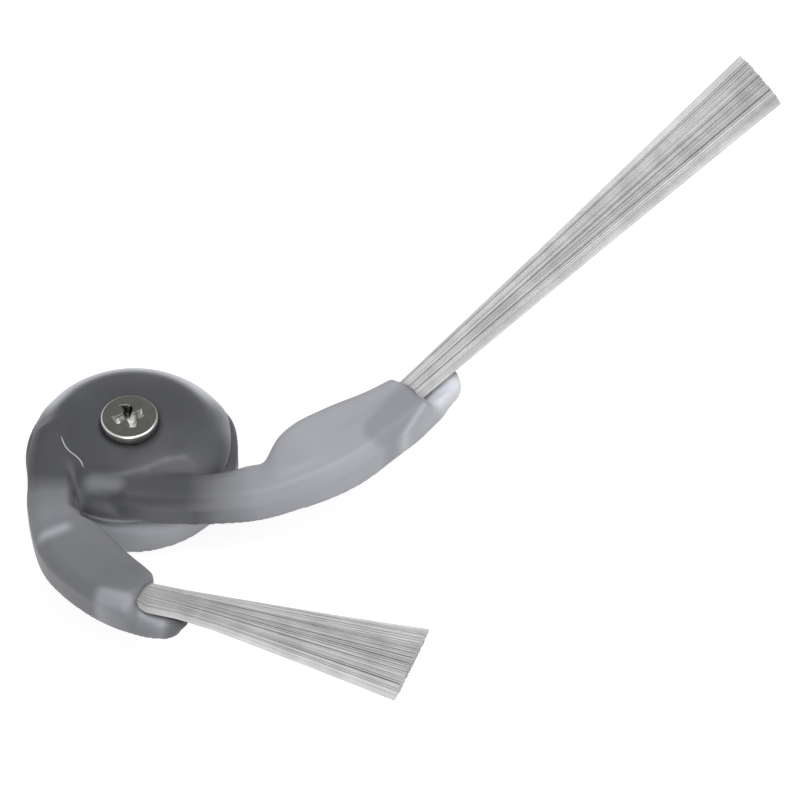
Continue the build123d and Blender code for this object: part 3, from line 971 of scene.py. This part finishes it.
def place_tuft(name, node, size):
    """Puts a tuft in its arm in the place of its plain solid."""
    tuft = bpy.data.objects.new(name, bristle_mesh(name, size))
    scene.collection.objects.link(tuft)
    tuft.data.materials.append(nylon)
    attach(tuft, "root")
    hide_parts(node)


# Aim and tilt are in degrees. Depth is the length inside the arm, and lean sets the root off to one side.
long_size = SimpleNamespace(
    mouth=(31.245, 7.236, MOUTH_Z), aim=49.3, tip_tilt=31.0, depth=8.0, length=65.0, root_w=3.0,
    tip_w=7.8, lean=0.35, splay=0.0, pale=0.67, root_shade=0.0, locks=7, parting=0.07)
short_size = SimpleNamespace(
    mouth=(3.428, -22.635, MOUTH_Z), aim=-19.1, tip_tilt=-4.0, depth=5.0, length=30.8, root_w=2.0,
    tip_w=10.4, lean=0.15, splay=0.9, pale=0.6, root_shade=0.2, locks=6, parting=0.015)
place_tuft("long_bristles", "long_tuft", long_size)
place_tuft("short_bristles", "short_tuft", short_size)


# Floor. A plain white sheet. To the camera, and in mirrors, it glows just short of white, and the light that
# falls on it brings it up to white, so the part's soft shadow stays. From below it is clear.

FLOOR_SIZE = 4.0
FLOOR_Z = -0.05 * MM
FLOOR_GLOW = 0.84
FLOOR_DIM = 0.22
FLOOR_MATT = 0.8


def white_sheet():
    """Glow plus a dim matt white for rays that are seen, and a plain matt white for light that bounces."""
    material, nodes, links, shader = new_material("white_sheet")
    nodes.remove(shader)
    rays = nodes.new("ShaderNodeLightPath")
    mirrored = nodes.new("ShaderNodeMath")
    mirrored.operation = "MAXIMUM"
    links.new(rays.outputs["Is Glossy Ray"], mirrored.inputs[0])
    links.new(rays.outputs["Is Transmission Ray"], mirrored.inputs[1])
    seen = nodes.new("ShaderNodeMath")
    seen.operation = "MAXIMUM"
    links.new(rays.outputs["Is Camera Ray"], seen.inputs[0])
    links.new(mirrored.outputs[0], seen.inputs[1])
    glow = nodes.new("ShaderNodeEmission")
    glow.inputs["Strength"].default_value = FLOOR_GLOW
    dim = nodes.new("ShaderNodeBsdfDiffuse")
    dim.inputs["Color"].default_value = (FLOOR_DIM, FLOOR_DIM, FLOOR_DIM, 1)
    lit = nodes.new("ShaderNodeAddShader")
    links.new(glow.outputs[0], lit.inputs[0])
    links.new(dim.outputs[0], lit.inputs[1])
    matt = nodes.new("ShaderNodeBsdfDiffuse")
    matt.inputs["Color"].default_value = (FLOOR_MATT, FLOOR_MATT, FLOOR_MATT, 1)
    pick = nodes.new("ShaderNodeMixShader")
    links.new(seen.outputs[0], pick.inputs["Fac"])
    links.new(matt.outputs[0], pick.inputs[1])
    links.new(lit.outputs[0], pick.inputs[2])
    clear = nodes.new("ShaderNodeBsdfTransparent")
    side = nodes.new("ShaderNodeNewGeometry")
    one_way = nodes.new("ShaderNodeMixShader")
    links.new(side.outputs["Backfacing"], one_way.inputs["Fac"])
    links.new(pick.outputs[0], one_way.inputs[1])
    links.new(clear.outputs[0], one_way.inputs[2])
    links.new(one_way.outputs[0], nodes["Material Output"].inputs["Surface"])
    return material


half = FLOOR_SIZE / 2
floor_corners = [(-half, -half, FLOOR_Z), (half, -half, FLOOR_Z),
                 (half, half, FLOOR_Z), (-half, half, FLOOR_Z)]
floor_mesh = bpy.data.meshes.new("floor")
floor_mesh.from_pydata(floor_corners, [], [(0, 1, 2, 3)])
floor_mesh.materials.append(white_sheet())
floor = bpy.data.objects.new("floor", floor_mesh)
scene.collection.objects.link(floor)


# Light. An even pale surround, a soft lamp above and one in front, and a weaker one at the side.
# Their places and sizes are in metres and their powers in watts.

SURROUND = 0.75
HUB_CENTRE = (0.0, 0.0, 5 * MM)

world = bpy.data.worlds.new("studio")
world.use_nodes = True
world.node_tree.nodes["Background"].inputs["Color"].default_value = (1, 1, 1, 1)
world.node_tree.nodes["Background"].inputs["Strength"].default_value = SURROUND
scene.world = world


def soft_lamp(name, place, size, power):
    """Square lamp that faces the hub."""
    lamp = bpy.data.lights.new(name, "AREA")
    lamp.size = size
    lamp.energy = power
    holder = bpy.data.objects.new(name, lamp)
    holder.location = place
    holder.rotation_euler = (Vector(HUB_CENTRE) - Vector(place)).to_track_quat("-Z", "Y").to_euler()
    scene.collection.objects.link(holder)


soft_lamp("key_lamp", place=(0.15, 0.15, 0.6), size=0.35, power=2.0)
soft_lamp("side_lamp", place=(0.55, -0.15, 0.35), size=0.35, power=0.8)
soft_lamp("front_lamp", place=(0.0, -0.6, 0.3), size=0.4, power=2.0)


# Camera. It stands at the photograph's viewing angle, given by its place and the directions of its axes.

LENS = 130.5
SENSOR_W = 36.0
NEAREST = 0.01
EYE = (30.19 * MM, -212.33 * MM, 254.64 * MM)
RIGHT = (0.99939, 0.02618, 0.02308)
UP = (-0.0349, 0.7496, 0.6609)
BACK = (0.0, -0.6613, 0.7501)

view = bpy.data.cameras.new("camera")
view.lens = LENS
view.sensor_width = SENSOR_W
view.clip_start = NEAREST
camera = bpy.data.objects.new("camera", view)
camera.matrix_world = Matrix.Translation(EYE) @ Matrix((RIGHT, UP, BACK)).transposed().to_4x4()
scene.collection.objects.link(camera)
scene.camera = camera
scene.view_settings.view_transform = "Standard"
